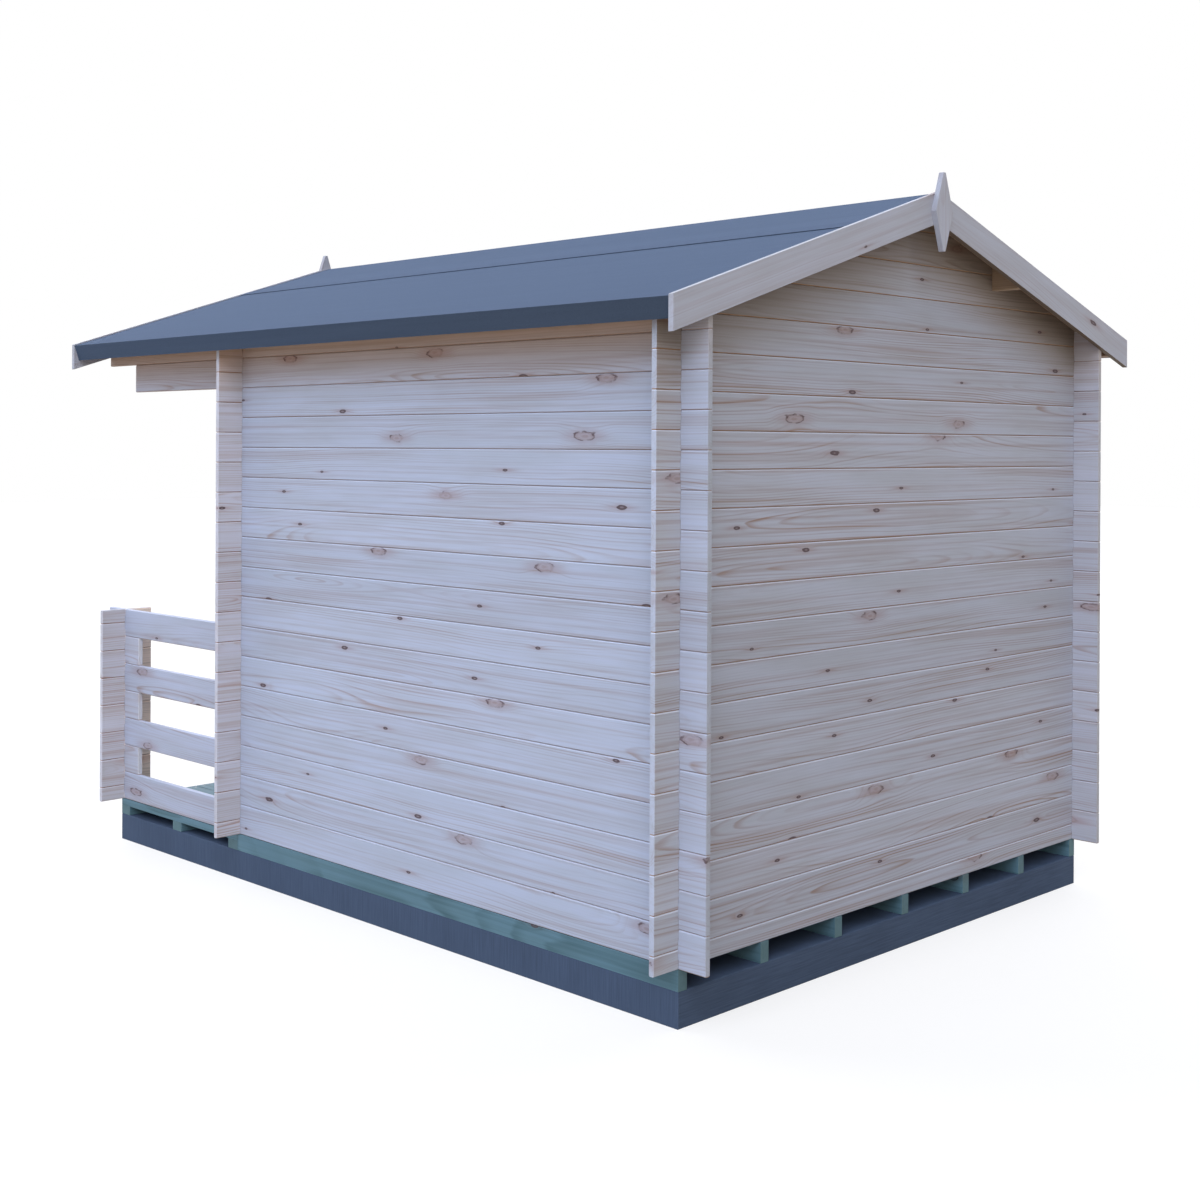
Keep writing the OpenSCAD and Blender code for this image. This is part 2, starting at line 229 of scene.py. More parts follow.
def nearest_knot(tree, given, start, place):
    """Finds the nearest knot along the board, with its own place across it, size and kind: live or dead."""
    at = add(tree, "Math.DIVIDE", (start, given["Knot spacing"]))
    found = add(tree, "TexVoronoi", {"W": at, "Scale": 1.0, "Randomness": 0.65}, voronoi_dimensions="1D")
    kind = add(tree, "SeparateColor", (found.outputs["Color"],)).outputs
    along = add(tree, "Math.SUBTRACT", (at, found.outputs["W"]))
    along = add(tree, "Math.MULTIPLY", (along, given["Knot spacing"]))
    across = add(tree, "MapRange", (kind[0], 0, 1, -0.5, 0.5))
    across = add(tree, "Math.MULTIPLY", (across, given["Board width"]))
    across = add(tree, "Math.SUBTRACT", (given["Across"], across))
    # What a knot does to the wood round it has died away before the next knot's share begins.
    near = add(tree, "Math.ABSOLUTE", (along,))
    near = add(tree, "MapRange", (near, 0.155, 0.07, 0, 1), interpolation_type="SMOOTHSTEP")
    live = add(tree, "Math.GREATER_THAN", (kind[2], 0.66))
    dead = add(tree, "Math.SUBTRACT", (1.0, live))
    # Radius across the board: 3.5 to 8.5 mm for a dead knot, and 9 mm more for a live one
    size = add(tree, "MapRange", (kind[1], 0, 1, 3.5 * MM, 8.5 * MM))
    size = add(tree, "Math.MULTIPLY_ADD", (live, 9 * MM, size))
    knot_x, knot_y = (add(tree, "Math.DIVIDE", (off, size)) for off in (along, across))
    # A knot is an oval, longer along the board; wobble keeps it from being a true one.
    reach = add(tree, "MapRange", (kind[1], 0, 1, 0.42, 0.3))
    oval = add(tree, "Math.MULTIPLY", (knot_x, reach))
    oval = add(tree, "CombineXYZ", (oval, knot_y))
    oval = add(tree, "VectorMath.LENGTH", (oval,))
    wobble = streaky(tree, place, (25, 55, 55), 3.0, (0.25, 0.75, -0.25, 0.25))
    oval = add(tree, "Math.ADD", (oval, wobble))
    return {"along": along, "x": knot_x, "y": knot_y, "size": size, "near": near, "dead": dead, "oval": oval}


def growth_rings(tree, given, luck, start, place, knot):
    """Late wood of the rings, which lie round a pith that wanders and are pushed out round the knots."""
    wander = add(tree, "TexNoise", {"W": start, "Scale": 0.55, "Detail": 1.5}, noise_dimensions="1D")
    wander = add(tree, "SeparateColor", (wander.outputs["Color"],)).outputs
    radius = []
    # Nearest and farthest that the pith lies across and behind the face, and how far it sways, in metres
    for n, name, low, high, sway in ((0, "Across", -0.13, 0.05, 0.08), (1, "Depth", -0.06, 0.0, 0.12)):
        pith = add(tree, "MapRange", (luck[n], 0, 1, low, high))
        pith = add(tree, "Math.MULTIPLY_ADD", (wander[n], sway, pith))
        radius.append(add(tree, "Math.SUBTRACT", (given[name], pith)))
    radius = add(tree, "CombineXYZ", radius)
    radius = add(tree, "VectorMath.LENGTH", (radius,))
    for per_metre, amount in (((0.8, 12, 12), 0.016), ((5, 70, 70), 0.0022)):
        uneven = streaky(tree, place, per_metre, 1.0)
        radius = add(tree, "Math.MULTIPLY_ADD", (uneven, amount, radius))
    swell = bell(tree, knot["x"], knot["y"], (0.14, 0.45, 1))
    for share in (knot["size"], knot["near"]):
        swell = add(tree, "Math.MULTIPLY", (swell, share))
    radius = add(tree, "Math.MULTIPLY_ADD", (swell, 1.3, radius))
    rings = add(tree, "Math.DIVIDE", (radius, given["Ring width"]))
    late = add(tree, "Math.FRACT", (rings,))
    # Late wood darkens slowly towards the end of each year's growth, and then stops short.
    late = add(tree, "ValToRGB", (late,))
    late.color_ramp.interpolation = "EASE"
    for end, position in zip(late.color_ramp.elements, (0.4, 1.0)):
        end.position = position
        end.color = BLACK
    late.color_ramp.elements.new(0.86).color = WHITE
    # Some years show as a clear line, others hardly do, and each line comes and goes along the board.
    year = add(tree, "Math.FLOOR", (rings,))
    year = add(tree, "Math.MULTIPLY_ADD", (given["Seed"], 7.31, year))
    year = add(tree, "TexWhiteNoise", {"W": year}, noise_dimensions="1D")
    year = add(tree, "Math.POWER", (year, 1.6))
    year = add(tree, "MapRange", (year, 0, 1, 0.15, 1.0))
    come = streaky(tree, place, (0.9, 10, 10), 1.0, (0.4, 0.62, 0.2, 1.0))
    year = add(tree, "Math.MULTIPLY", (year, come))
    return add(tree, "Math.MULTIPLY", (late, year))


def knot_colour(tree, given, place, knot, early, colour):
    """Lays the nearest knot over the colour of the wood.

    It has reddish tails along the grain, then live wood with a broken rim, or a dead heart with a dark rim.
    """
    red, brown, bark = (
        add(tree, "VectorMath.MULTIPLY", (early, share))
        for share in ((0.68, 0.41, 0.31), (0.56, 0.35, 0.29), (0.22, 0.12, 0.11)))
    tail = add(tree, "Math.MULTIPLY_ADD", (knot["size"], 4.0, 30 * MM))
    tail = add(tree, "Math.DIVIDE", (knot["along"], tail))
    tail = bell(tree, tail, knot["y"], (1, 0.85, 1))
    for share in (0.55, knot["near"]):
        tail = add(tree, "Math.MULTIPLY", (tail, share))
    # Limits of each layer, as shares of the knot's own radius, and how strong it is at each limit
    halo, filled, heart, core = (
        add(tree, "MapRange", (knot["oval"], *limits), interpolation_type="SMOOTHSTEP")
        for limits in ((2.4, 0.9, 0, 0.32), (1.1, 0.8, 0, 1), (1.1, 0.85, 0, 0.9), (0.2, 0.5, 0.55, 1)))
    halo = add(tree, "Math.MAXIMUM", (halo, tail))
    inner = add(tree, "Math.MULTIPLY", (knot["oval"], 11.0))
    inner = add(tree, "Math.SINE", (inner,))
    inner = add(tree, "MapRange", (inner, -1, 1, 0, 0.35))
    inner = add(tree, "Math.MULTIPLY", (inner, filled))
    fade = add(tree, "TexNoise", {"Vector": place, "Scale": 28.0, "Detail": 2.0})
    fade = add(tree, "MapRange", (fade, 0.45, 0.6, 0.05, 0.9))
    rim = add(tree, "Math.SUBTRACT", (knot["oval"], 0.92))
    rim = add(tree, "Math.ABSOLUTE", (rim,))
    rim = add(tree, "MapRange", (rim, 0.17, 0.04, 0, 1), interpolation_type="SMOOTHSTEP")
    rim = add(tree, "Math.MULTIPLY", (rim, fade))
    for share in (core, knot["dead"]):
        heart = add(tree, "Math.MULTIPLY", (heart, share))
    for amount, paint in ((halo, red), (inner, brown), (rim, bark), (heart, given["Knot"])):
        colour = add(tree, "Mix", {0: amount, 6: colour, 7: paint}, data_type="RGBA")
    return colour


def softwood_grain():
    """Node group that draws the grain of a sawn and planed board of knotty spruce or pine.

    Along, Across and Depth place a point in the board, in metres. The rings are cylinders round a pith that
    lies behind the board's face and wanders, which gives straight lines, long loops and ring ends alike.
    """
    tree = bpy.data.node_groups.new("Softwood grain", "ShaderNodeTree")
    for direction, kind, names in (
            ("INPUT", "Float", ("Along", "Across", "Depth", "Seed", "Ring width", "Figure", "Knot spacing",
                                "Board width", "Painted shading mask", "Foot", "Head")),
            ("INPUT", "Color", ("Early", "Late", "Knot", "Painted shading colour", "Joint")),
            ("OUTPUT", "Color", ("Color",)), ("OUTPUT", "Float", ("Height",))):
        for name in names:
            tree.interface.new_socket(name, in_out=direction, socket_type="NodeSocket" + kind)
    given = tree.nodes.new("NodeGroupInput").outputs
    luck, start, place = board_start(tree, given)
    knot = nearest_knot(tree, given, start, place)
    late = growth_rings(tree, given, luck, start, place, knot)

    # Streaks of darker wood, and fibres drawn 2 mm wide because real ones are too fine to show
    streak = streaky(tree, place, (0.7, 70, 70), 2.0, (0.47, 0.74, 0.0, 0.4))
    fibre = streaky(tree, place, (8, 400, 400), 2.0)
    dark = add(tree, "Math.MULTIPLY_ADD", (late, 0.62, streak))
    dark = add(tree, "Math.MULTIPLY", (dark, given["Figure"]))
    # Painted light and shade: where the mask is set, the early and late wood give way to a painted colour,
    # painted shade under the roof and on down-facing faces, and painted light in the porch.
    painted_late = add(tree, "VectorMath.SCALE", {0: given["Painted shading colour"], 3: 0.58})
    early, late_colour = (
        add(tree, "Mix", {0: given["Painted shading mask"], 6: own_colour, 7: painted_colour}, data_type="RGBA")
        for own_colour, painted_colour in ((given["Early"], given["Painted shading colour"]), (given["Late"], painted_late)))
    colour = add(tree, "Mix", {0: dark, 6: early, 7: late_colour}, data_type="RGBA")
    # Patches a hand long where the wood took the wash differently
    patch = streaky(tree, place, (2.5, 16, 16), 2.0, (0.35, 0.65, 0.0, 1.0))
    patch = add(tree, "Mix", {0: patch, 4: (0.95, 0.945, 0.935), 5: (1.02, 1.025, 1.05)}, data_type="VECTOR")
    colour = add(tree, "VectorMath.MULTIPLY", (colour, patch))
    colour = knot_colour(tree, given, place, knot, early, colour)

    # Tone of each board, with the fibres over it, then the chamfers of its joints: the lower one darker, a
    # dark joint with painted shade in it, the upper one lighter, a painted highlight
    colour = mottled(tree, colour, (luck[1], 0, 1, 0.95, 1.04), (fibre, 0.25, 0.75, 0.955, 1.04))
    painted_highlight = add(tree, "VectorMath.SCALE", {0: early, 3: 1.65})
    for amount, paint in ((given["Foot"], given["Joint"]), (given["Head"], painted_highlight)):
        colour = add(tree, "Mix", {0: amount, 6: colour, 7: paint}, data_type="RGBA")
    height = add(tree, "Math.MULTIPLY_ADD", (fibre, 0.5, late))
    out = tree.nodes.new("NodeGroupOutput").inputs
    tree.links.new(colour.outputs[2], out["Color"])
    tree.links.new(height.outputs[0], out["Height"])
    return tree


def along_axis(tree, axis):
    """How far a point of the object lies along the axis."""
    here = add(tree, "TexCoord").outputs["Object"]
    return add(tree, "VectorMath.DOT_PRODUCT", (here, axis))


def past(axis, edge, either_way=False):
    """Gives 1 where a point lies past the edge along the axis, or past it either way, and 0 elsewhere."""
    def where(tree):
        here = along_axis(tree, axis)
        if either_way:
            here = add(tree, "Math.ABSOLUTE", (here,))
        return add(tree, "Math.GREATER_THAN", (here, edge))
    return where


def between(axis, low, high):
    """Gives 1 between two places along the axis, 0 elsewhere."""
    def where(tree):
        here = along_axis(tree, axis)
        return add(tree, "Math.COMPARE", (here, (low + high) / 2, (high - low) / 2))
    return where


def looking(tree, axis, either_way=False):
    """1 on faces that look along the axis, or either way along it, and 0 on the others."""
    facing = add(tree, "NewGeometry").outputs["Normal"]
    facing = add(tree, "VectorMath.DOT_PRODUCT", (facing, axis))
    if either_way:
        facing = add(tree, "Math.ABSOLUTE", (facing,))
    return add(tree, "Math.GREATER_THAN", (facing, 0.5))


def porch_painted_light(tree):
    """Where painted light lies: 1 on the faces of the right porch corner that look into the porch, 0 on the
    others.
    """
    right = between(X, 0, X_FACE)(tree)
    return add(tree, "Math.MULTIPLY", (right, looking(tree, Y)))


def shade_under_roof(reach, past_rear=1.0):
    """Where painted shade lies on a wall: 1 under the roof, 0 from the reach below it, and less past the rear
    wall.
    """
    def painted_shading(tree):
        here = add(tree, "SeparateXYZ", (add(tree, "TexCoord").outputs["Object"],)).outputs
        side = add(tree, "Math.ABSOLUTE", (here[0],))
        roof = add(tree, "Math.MULTIPLY_ADD", (side, -SLOPE, APEX))
        below = add(tree, "Math.SUBTRACT", (roof, here[2]))
        near = add(tree, "MapRange", (below, reach, 0, 0, 1), interpolation_type="SMOOTHSTEP")
        behind = add(tree, "Math.GREATER_THAN", (here[1], Y_REAR))
        weaker = add(tree, "MapRange", (behind, 0, 1, 1, past_rear))
        return add(tree, "Math.MULTIPLY", (near, weaker))
    return painted_shading


def spruce(pale=None):
    """Colours of early and late wood, or those of a warmer batch that is paler or darker by a share."""
    colours = bpy.context.scene.cabin_colours
    tint = [pale * warm for warm in (1.045, 1.0, 0.95)] if pale else SAME
    return [[c * share for c, share in zip(colour, tint)] for colour in (colours.early, colours.late)]


def softwood(name, place, wood, width, painted_shading=None, figure=1.0, ends=None, washes=()):
    """Planed spruce or pine: a dull satin face, fine raised fibres, growth rings and knots.

    place(tree) gives the sockets Along, Across, Depth and Seed. wood is its early and late colour, and knots
    lie within the width. shelter is a function that says where the wood's own colour gives way to a painted
    one, and that colour: painted shade under the roof and on down-facing faces, painted light in the porch.
    figure is how strongly the grain shows. ends is the axis of the boards, how their sawn ends differ in
    colour from the faces, and how much of that painted colour they keep. washes are functions that say where
    the colour differs, each with how it differs there; on the crossed ends of the end walls that is painted
    light.
    """
    sizes, colours = bpy.context.scene.cabin_sizes, bpy.context.scene.cabin_colours
    material, tree = new_material(name)
    early, late = wood
    inputs = {
        "Ring width": sizes.ring_width, "Knot spacing": sizes.knot_spacing, "Board width": width,
        "Figure": figure, "Early": rgba(early), "Late": rgba(late), "Knot": rgba(colours.knot),
        "Joint": rgba(colours.joint), **place(tree),
    }
    shares = [(where(tree), share) for where, share in washes]
    if painted_shading:
        where, colour = painted_shading
        inputs["Painted shading colour"] = rgba(colour)
        inputs["Painted shading mask"] = where(tree)
    if ends:
        axis, share, kept = ends
        sawn = looking(tree, axis, either_way=True)
        shares.append((sawn, share))
        inputs["Figure"] = add(tree, "MapRange", (sawn, 0, 1, figure, 0.4 * figure))
        if painted_shading:
            less = add(tree, "MapRange", (sawn, 0, 1, 1, kept))
            inputs["Painted shading mask"] = add(tree, "Math.MULTIPLY", (inputs["Painted shading mask"], less))
    group = bpy.data.node_groups.get("Softwood grain") or softwood_grain()
    grain = add(tree, "Group", inputs, node_tree=group).outputs
    colour = grain["Color"]
    for where, share in shares:
        share = add(tree, "Mix", {0: where, 4: SAME, 5: share}, data_type="VECTOR")
        colour = add(tree, "VectorMath.MULTIPLY", (colour, share))
    look = {"Base Color": colour, "Roughness": 0.62, "IOR": 1.5, "Specular IOR Level": 0.3}
    return finished(material, look, grain["Height"], 0.25, 0.4 * MM)


def in_frame(along, across, depth, origin, seed, rows=None, joints=None):
    """Place of a point in a straight piece of the frame. rows is an axis and a pitch, with one board in each.

    Logs give joints: how strongly the lower chamfer is darkened, a dark joint with painted shade in it, and
    the upper one lightened, a painted highlight, 0 to 1.
    """
    def place(tree):
        here = add(tree, "TexCoord").outputs["Object"]
        here = add(tree, "VectorMath.SUBTRACT", (here, origin))
        found = {
            name: add(tree, "VectorMath.DOT_PRODUCT", (here, axis))
            for name, axis in (("Along", along), ("Across", across), ("Depth", depth))
        }
        found["Seed"] = seed
        if rows:
            axis, pitch = rows
            row = add(tree, "VectorMath.DOT_PRODUCT", (here, axis))
            row = add(tree, "Math.DIVIDE", (row, pitch))
            row = add(tree, "Math.FLOOR", (row,))
            found["Seed"] = add(tree, "Math.MULTIPLY_ADD", (row, SEED_STEP, seed))
            if axis == across:
                in_row = add(tree, "Math.FLOORED_MODULO", (found["Across"], pitch))
                found["Across"] = add(tree, "Math.SUBTRACT", (in_row, pitch / 2))
            if joints:
                foot, head = joints
                low, high = -pitch / 2, pitch / 2
                # Foot darkens the lower chamfer, a dark joint with painted shade in it; Head lightens the
                # upper one, a painted highlight.
                for name, *limits in (("Foot", low + 3.4 * MM, low + 2.4 * MM, 0, foot),
                                      ("Head", high - 4 * MM, high - 3 * MM, 0, head)):
                    found[name] = add(tree, "MapRange", (found["Across"], *limits))
        return found
    return place


def in_board(tree):
    """Place of a point in a board that carries its own grain coordinates."""
    spot = add(tree, "Attribute", attribute_name="grain").outputs["Vector"]
    spot = add(tree, "SeparateXYZ", (spot,)).outputs
    seed = add(tree, "Attribute", attribute_name="seed").outputs["Fac"]
    # The V joints are darkened, a dark joint with painted shade in it, most of all about 2.5 mm behind the
    # face.
    cut = add(tree, "Math.SUBTRACT", (spot[2], 2.5 * MM))
    cut = add(tree, "Math.ABSOLUTE", (cut,))
    foot = add(tree, "MapRange", (cut, 2.3 * MM, 1 * MM, 0, 0.6))
    return {"Along": spot[0], "Across": spot[1], "Depth": spot[2], "Seed": seed, "Foot": foot}


def brushed_concrete():
    """Dark pigmented concrete, brushed while green: matt, with fine strokes, upright along the long sides."""
    material, tree = new_material("Brushed dark concrete")
    here = add(tree, "TexCoord").outputs["Object"]
    # Bristle strokes about 3 mm wide, drawn coarser than the real 1 mm, level or upright
    long_side = looking(tree, X, either_way=True)
    per_metre = add(tree, "Mix", {0: long_side, 4: (9, 9, 320), 5: (320, 320, 9)}, data_type="VECTOR")
    strokes = streaky(tree, here, per_metre, 3.0)
    clouds = add(tree, "TexNoise", {"Vector": here, "Scale": 6.0, "Detail": 4.0})
    colour = mottled(tree, bpy.context.scene.cabin_colours.plinth,
                     (strokes, 0.25, 0.75, 0.8, 1.16), (clouds, 0.3, 0.7, 0.93, 1.05))
    look = {"Base Color": colour, "Roughness": 0.85, "IOR": 1.5, "Specular IOR Level": 0.15}
    return finished(material, look, strokes, 0.4, 0.8 * MM)


def mineral_felt():
    """Bitumen felt with rolled-in crushed slate: matt granules, a little brighter at a flat angle."""
    material, tree = new_material("Slate mineral felt")
    here = add(tree, "TexCoord").outputs["Object"]
    # Granules are about 1 mm; they are drawn at 3 mm so that they show.
    grit = add(tree, "TexNoise", {"Vector": here, "Scale": 330.0, "Detail": 2.0, "Roughness": 0.7})
    rolled = streaky(tree, here, (40, 1.5, 40), 4.0)
    colour = mottled(tree, bpy.context.scene.cabin_colours.felt,
                     (grit, 0.25, 0.75, 0.8, 1.2), (rolled, 0.3, 0.7, 0.94, 1.06))
    look = {"Base Color": colour, "Roughness": 0.9, "IOR": 1.5, "Specular IOR Level": 0.08,
            "Sheen Weight": 0.25, "Sheen Roughness": 0.6, "Sheen Tint": rgba(linear("#7ea1dc"))}
    return finished(material, look, grit, 0.35, 0.6 * MM)


def coated_steel():
    """Steel with black powder coat: a fine orange peel and a low gloss."""
    material, tree = new_material("Black powder coated steel")
    here = add(tree, "TexCoord").outputs["Object"]
    peel = add(tree, "TexNoise", {"Vector": here, "Scale": 900.0, "Detail": 1.0})
    colour = mottled(tree, bpy.context.scene.cabin_colours.steel, (peel, 0, 1, 0.85, 1.15))
    return finished(material, {"Base Color": colour, "Roughness": 0.42, "IOR": 1.5}, peel, 0.15, 0.2 * MM)


def zinc_plate():
    """Zinc plated steel screws: grey metal dulled by weather."""
    material, tree = new_material("Zinc plated steel")
    here = add(tree, "TexCoord").outputs["Object"]
    dull = add(tree, "TexNoise", {"Vector": here, "Scale": 400.0, "Detail": 2.0})
    rough = add(tree, "MapRange", (dull, 0, 1, 0.35, 0.6))
    colour = mottled(tree, bpy.context.scene.cabin_colours.zinc, (dull, 0, 1, 0.85, 1.1))
    return finished(material, {"Base Color": colour, "Metallic": 1.0, "Roughness": rough})


def dress(node, material, arris=None):
    """Gives a node of the frame its finish, and softens its edges."""
    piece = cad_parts[node]
    piece.data.materials.clear()
    piece.data.materials.append(material)
    if arris:
        weld = piece.modifiers.new("Weld", "WELD")
        weld.merge_threshold = 0.01 * MM
        bevel = piece.modifiers.new("Arris", "BEVEL")
        bevel.width = arris
        bevel.segments = 1
        bevel.limit_method = "ANGLE"
        bevel.angle_limit = math.radians(30)


def dress_spruce(node, place, width, painted_shading=None, pale=None, arris=1, **more):
    """Gives a node its own spruce, and softens its edges by so many times the usual arris."""
    name = "Planed spruce " + node.removeprefix("door_")
    material = softwood(name, place, spruce(pale), width, painted_shading, **more)
    dress(node, material, arris * bpy.context.scene.cabin_sizes.arris)


def row_of(node, axis):
    """Start, width and pitch of a node's equal pieces, which lie side by side along an axis."""
    edges = sorted({round(v.co.dot(axis), 5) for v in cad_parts[node].data.vertices})
    return edges[0], edges[1] - edges[0], edges[2] - edges[0]


class CABIN_OT_logs(bpy.types.Operator):
    """Finishes the log walls, the porch sides and the gables"""
    bl_idname = "cabin.logs"
    bl_label = "Log walls"

    def execute(self, context):
        colours = context.scene.cabin_colours
        # How the colour differs on the porch rails and on the sawn ends, for the long and the short logs
        parts = (("wall", (0.92, 0.92, 0.94), (0.88, 0.87, 0.83)),
                 ("porch_spacers", (0.99, 0.96, 0.94), (1.4, 1.36, 1.24)))
        on_rails, in_wall = past(-Y, 20 * MM - Y_FRONT), between(Y, Y_FRONT, Y_REAR)
        for (name, side), seed, pale in zip(SIDES, (3.0, 41.0), (None, 1.02)):
            origin = side * X_FACE * X + LOG_BOTTOM * Z
            place = in_frame(Y, Z, -side * X, origin, seed, (Z, LOG_H), (0.62, 0.35))
            for part, rails, sawn in parts:
                node = f"{name}_{part}"
                washes = [(on_rails, rails), (in_wall, (0.957, 0.975, 0.995))]
                # Painted shade: close under the eaves the side walls are painted browner, as shade and warm
                # bounced light make them, and less so past the rear wall.
                dress_spruce(node, place, LOG_H, (shade_under_roof(0.3, 0.3), colours.eaves), pale,
                             ends=(Y, sawn, 1.0), washes=washes)

        crossed, in_wall = past(X, X_FACE, either_way=True), between(X, -X_FACE, X_FACE)
        # The crossed ends of the end walls are painted lighter: painted light, bounced onto them from the
        # side walls. The paler batch of the front walls and porch returns is partly that painted light as
        # well.
        front_washes = [(crossed, (1.04, 1.01, 0.98))]
        # Outer face, way that it looks, batch, painted highlight on the upper chamfer, painted shade (painted
        # light in the porch) and its colour, sawn ends, washes, and nodes with seeds
        walls = (
            # The rear wall is painted with the shade under the gables, the front walls with the shade under
            # the eaves, and the porch returns with painted light.
            (Y_REAR, 1, 0.88, 0.7, (shade_under_roof(0.34), colours.gables), (1.03, 1.08, 1.17),
             [(crossed, (1.08, 1.08, 1.04)), (in_wall, (0.996, 1.018, 1.04))],
             {"rear_wall": 83.0, "rear_gable": 83.0}),
            (Y_FRONT, -1, 1.14, 0.35, (shade_under_roof(0.26), colours.eaves), SAME, front_washes,
             {"front_wall_right": 127.0, "front_wall_left": 131.0, "front_gable": 127.0}),
            (Y_PORCH, -1, 1.17, 0.35, (porch_painted_light, colours.porch), SAME, front_washes,
             {"right_porch_return": 167.0, "left_porch_return": 211.0}),
        )
        for face, out, pale, head, painted_shading, sawn, washes, nodes in walls:
            origin = face * Y + (LOG_BOTTOM - LOG_H / 2) * Z
            for node, seed in nodes.items():
                place = in_frame(X, Z, -out * Y, origin, seed, (Z, LOG_H), (0.95, head))
                ends = (X, sawn, 0.0)
                dress_spruce(node, place, LOG_H, painted_shading, pale, figure=1.3, ends=ends, washes=washes)
        return {"FINISHED"}


class CABIN_OT_trim(bpy.types.Operator):
    """Finishes the bargeboards, finials, purlins and eave battens"""
    bl_idname = "cabin.trim"
    bl_label = "Gable trim and purlins"

    def execute(self, context):
        colours = context.scene.cabin_colours
        pale, figure = 0.88, 0.5
        # End, way that it looks, and which corner of a box has its outer face
        for n, (end, out, outer) in enumerate((("rear", 1, 1), ("front", -1, 0))):
            for m, (name, side) in enumerate(SIDES):
                node = f"{end}_bargeboard_{name}"
                origin = Vector((0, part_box(node)[outer].y, APEX))
                place = in_frame(*roof_axes(side), -out * Y, origin, 251.0 + 7 * n + 3 * m)
                # Painted shade on their down-facing faces.
                painted_shading = (lambda tree: looking(tree, -Z), colours.underside_shade)
                dress_spruce(node, place, LOG_H, painted_shading, pale, figure=figure)
            node = f"{end}_finial"
            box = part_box(node)
            origin = Vector((0, box[outer].y, box[0].z))
            dress_spruce(node, in_frame(Z, X, -out * Y, origin, 271.0 + n), 0.1, None, pale, figure=figure)
        # Painted shade: purlins and eave battens close under the roof are painted a shaded brown.
        purlins, battens = colours.purlins, colours.soffit_shade
        for n, (node, tan) in enumerate((
                ("ridge_purlin", purlins), ("right_purlin", purlins), ("left_purlin", purlins),
                ("right_eave_batten", battens), ("left_eave_batten", battens))):
            low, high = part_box(node)
            place = in_frame(Y, Z, X, (low + high) / 2, 301.0 + n)
            dress_spruce(node, place, high.z - low.z, (shade_under_roof(1.0), tan))
        return {"FINISHED"}


class CABIN_OT_base(bpy.types.Operator):
    """Finishes the plinth, the joists and the porch floor"""
    bl_idname = "cabin.base"
    bl_label = "Plinth and treated timber"

    def execute(self, context):
        colours, sizes = context.scene.cabin_colours, context.scene.cabin_sizes
        dress("plinth", brushed_concrete(), 2 * sizes.arris)
        # Along, across and through the timbers, the axis along which they lie side by side, and the seed
        for node, along, across, depth, axis, seed in (
                ("floor_joists", Y, Z, X, X, 401.0), ("porch_bearers", X, Y, Z, Y, 431.0),
                ("porch_deck", Y, X, -Z, X, 461.0)):
            first, width, pitch = row_of(node, axis)
            origin = (first - (pitch - width) / 2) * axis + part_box(node)[1].z * Z
            place = in_frame(along, across, depth, origin, seed, (axis, pitch))
            wood = (colours.treated_early, colours.treated_late)
            material = softwood("Treated softwood " + node, place, wood, 0.06, figure=1.4,
                                ends=(along, (0.8, 0.77, 0.7), 0.0))
            dress(node, material, sizes.arris)
        return {"FINISHED"}


class CABIN_OT_felt(bpy.types.Operator):
    """Finishes the roofing felt"""
    bl_idname = "cabin.felt"
    bl_label = "Roofing felt"

    def execute(self, context):
        material = mineral_felt()
        for node in ("right_felt", "left_felt", "ridge_felt"):
            dress(node, material)
        return {"FINISHED"}


def finish(mesh, name, material, slot, *nodes):
    """Makes a piece of a mesh, and returns its data. The nodes are those that it is shown in place of."""
    bmesh.ops.recalc_face_normals(mesh, faces=mesh.faces)
    data = bpy.data.meshes.new(name)
    mesh.to_mesh(data)
    mesh.free()
    data.materials.append(material)
    piece = bpy.data.objects.new(name, data)
    bpy.context.scene.collection.objects.link(piece)
    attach(piece, "root")
    if nodes:
        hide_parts(*nodes)
    return data


def finish_metal(mesh, name, material, *nodes):
    """Makes the piece of a mesh of metal parts, smooth but for its sharp edges."""
    for face in mesh.faces:
        face.smooth = True
    finish(mesh, name, material, "black_steel", *nodes).set_sharp_from_angle(angle=math.radians(35))


def skin(mesh, rings):
    """Closes rings of as many points each into a solid: faces in the first and last, and a skin between."""
    mesh.faces.new(rings[0][::-1])
    mesh.faces.new(rings[-1])
    for low, high in zip(rings, rings[1:]):
        for i in range(len(low)):
            mesh.faces.new((low[i - 1], low[i], high[i], high[i - 1]))


def v_section(width, thickness, v, both=False):
    """Section of a tongued board: chamfered along its face, and along its back too where both show."""
    back = [(width, thickness), (0, thickness)]
    if both:
        back = [(width, thickness - v), (width - v, thickness), (v, thickness), (0, thickness - v)]
    return [(0, v), (v, 0), (width - v, 0), (width, v)] + back


def boarding(name, material, slot, node, corner, along, across, depth, count, seed, v, both=False, skew=0.0):
    """Fills a block with tongued boards in place of a node, each with its own grain coordinates and seed.

    The block reaches from its corner, on the boards' face, along, across and through them. v is the chamfer
    of their joints, and skew slants their starts.
    """
    gap = bpy.context.scene.cabin_sizes.board_gap
    cover = across.length / count
    section = v_section(cover - gap, depth.length, v, both)
    mesh = bmesh.new()
    grain = mesh.verts.layers.float_vector.new("grain")
    seeds = mesh.verts.layers.float.new("seed")
    for i in range(count):
        start = corner + across.normalized() * (i * cover + gap / 2)
        rings = []
        for at, lean in ((0.0, skew), (along.length, 0.0)):
            ring = []
            for a, d in section:
                reach = at + lean * d
                spot = along.normalized() * reach + across.normalized() * a + depth.normalized() * d
                vert = mesh.verts.new(start + spot)
                vert[grain] = Vector((reach, a, d))
                vert[seeds] = seed + SEED_STEP * i
                ring.append(vert)
            rings.append(ring)
        skin(mesh, rings)
    finish(mesh, name, material, slot, node)


